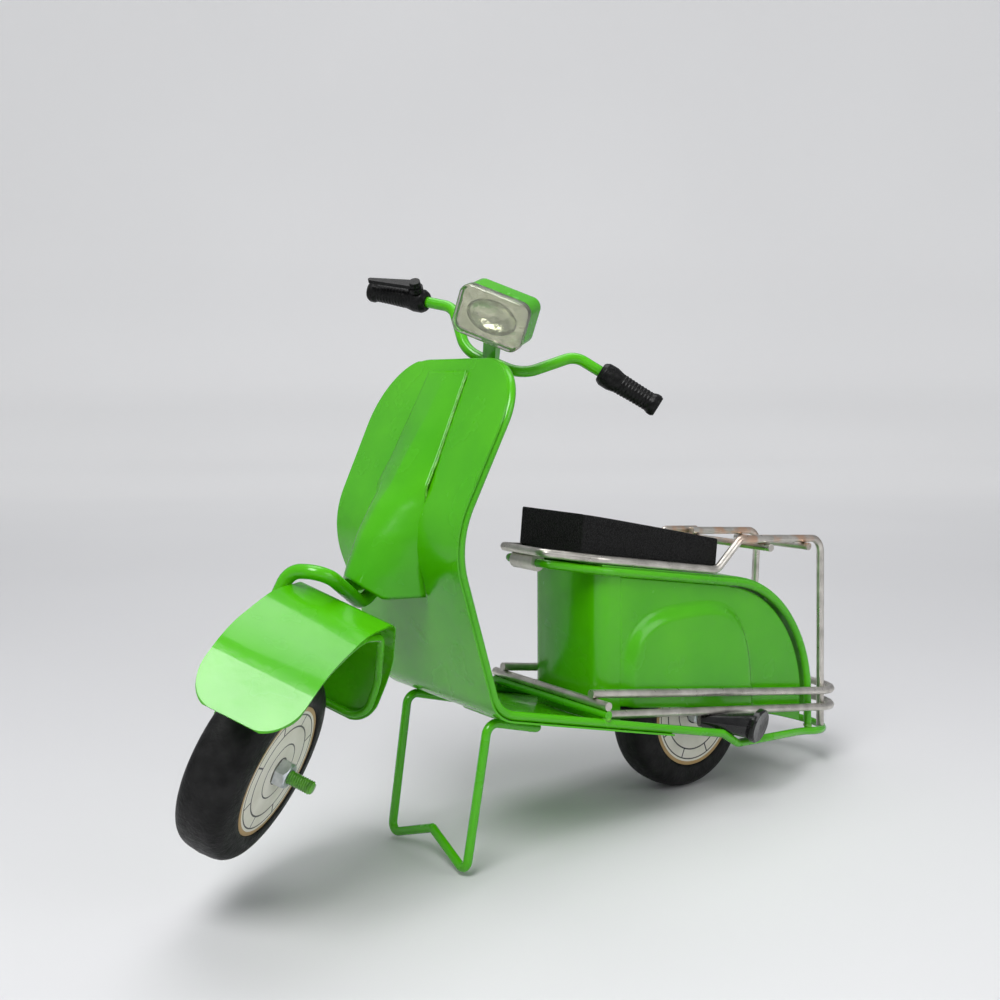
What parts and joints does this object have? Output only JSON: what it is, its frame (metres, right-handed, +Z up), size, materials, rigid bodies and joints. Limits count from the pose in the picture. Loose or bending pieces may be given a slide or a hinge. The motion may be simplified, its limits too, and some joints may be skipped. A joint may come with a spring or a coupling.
{
  "type": "toy scooter",
  "caption": "Hand-made sheet metal and wire model scooter on a folding centre stand, with steering, rolling wheels and hinged seat.",
  "frame": {"origin": "point where the rear wheel rests on the floor, under its centre", "axes": "+X towards the tail, -Y the scooter's left side, +Z up"},
  "size_m": [0.3851, 0.1297, 0.2577],
  "materials": {
    "tyre": "satin moulded rubber",
    "wheel_core": "moulded hub",
    "printed_disc": "printed cream disc",
    "zinc": "zinc plated",
    "axle_rod": "painted threaded rod",
    "bare_wire": "bare drawn steel wire",
    "leatherette": "pebbled leatherette",
    "seat_board": "thin board",
    "grip_rubber": "moulded rubber",
    "lever_plastic": "moulded plastic",
    "black_gloss": "gloss black paint",
    "lens": "clear moulded",
    "reflector": "bright metallised",
    "green_paint": "gloss lime green paint"
  },
  "bodies": {
    "chassis": {"axle_hanger_left": "green_paint", "axle_hanger_right": "green_paint", "body_wire": "green_paint", "column_gusset": "green_paint", "floor_crossbar": "green_paint", "floor_wire_left": "green_paint", "floor_wire_right": "green_paint", "front_panel": "green_paint", "lower_rail": "bare_wire", "muffler": "black_gloss", "muffler_cap": "black_gloss", "nose_cover": "green_paint", "rack_crossbar_front": "bare_wire", "rack_crossbar_rear": "bare_wire", "rack_rail_left": "bare_wire", "rack_rail_right": "bare_wire", "rail_crossbar": "bare_wire", "rear_axle": "axle_rod", "rear_axle_nuts": "zinc", "shield_arch_wire": "green_paint", "shield_floor": "green_paint", "side_panel_left": "green_paint", "side_panel_right": "green_paint", "stand_hinge_tube": "green_paint", "steering_tube": "green_paint", "tail_wire": "green_paint", "top_cover": "green_paint", "upper_rail": "bare_wire"},
    "steering": {"fork": "green_paint", "front_axle": "axle_rod", "front_axle_nuts": "zinc", "handlebar": "green_paint", "fender": "green_paint", "fender_loop_wire": "green_paint", "headlight_lens": "lens", "headlight_housing": "green_paint", "headlight_reflector": "reflector", "headlight_bracket": "green_paint", "grip_right": "grip_rubber", "grip_left": "grip_rubber", "lever_perch": "lever_plastic", "lever_pin": "lever_plastic"},
    "front_wheel": {"front_wheel_core": "wheel_core", "front_wheel_disc_left": "printed_disc", "front_wheel_disc_right": "printed_disc", "front_wheel_tyre": "tyre"},
    "rear_wheel": {"rear_wheel_core": "wheel_core", "rear_wheel_disc_left": "printed_disc", "rear_wheel_disc_right": "printed_disc", "rear_wheel_tyre": "tyre"},
    "stand": {"stand_wire": "green_paint"},
    "seat": {"seat_hinge_sleeve": "bare_wire", "seat_hoop": "bare_wire", "seat_plate": "seat_board", "seat_cushion": "leatherette"},
    "lever": {"brake_lever": "lever_plastic"}
  },
  "joints": [
    {"name": "steering_turn", "type": "hinge", "parent": "chassis", "child": "steering", "pos_m": [-0.1823, 0, 0.125], "axis": [0.5592, 0, 0.829], "range_deg": [-83.3, 0]},
    {"name": "front_wheel_spin", "type": "hinge", "parent": "steering", "child": "front_wheel", "pos_m": [-0.24179, -0.00465, 0.06283], "axis": [-0.551, 0.7472, 0.3716], "continuous": true},
    {"name": "rear_wheel_spin", "type": "hinge", "parent": "chassis", "child": "rear_wheel", "pos_m": [0, 0, 0.04], "axis": [0, 1, 0], "continuous": true},
    {"name": "stand_fold", "type": "hinge", "parent": "chassis", "child": "stand", "pos_m": [-0.118, 0, 0.05808], "axis": [0, -1, 0], "range_deg": [0, 95]},
    {"name": "seat_lift", "type": "hinge", "parent": "chassis", "child": "seat", "pos_m": [-0.101, 0, 0.12707], "axis": [0, -1, 0], "range_deg": [0, 62]},
    {"name": "brake_pull", "type": "hinge", "parent": "steering", "child": "lever", "pos_m": [-0.13562, 0.03807, 0.25297], "axis": [-0.4628, -0.4577, 0.7592], "range_deg": [0, 10], "stiffness_Nm_per_rad": 0.01}
  ]
}
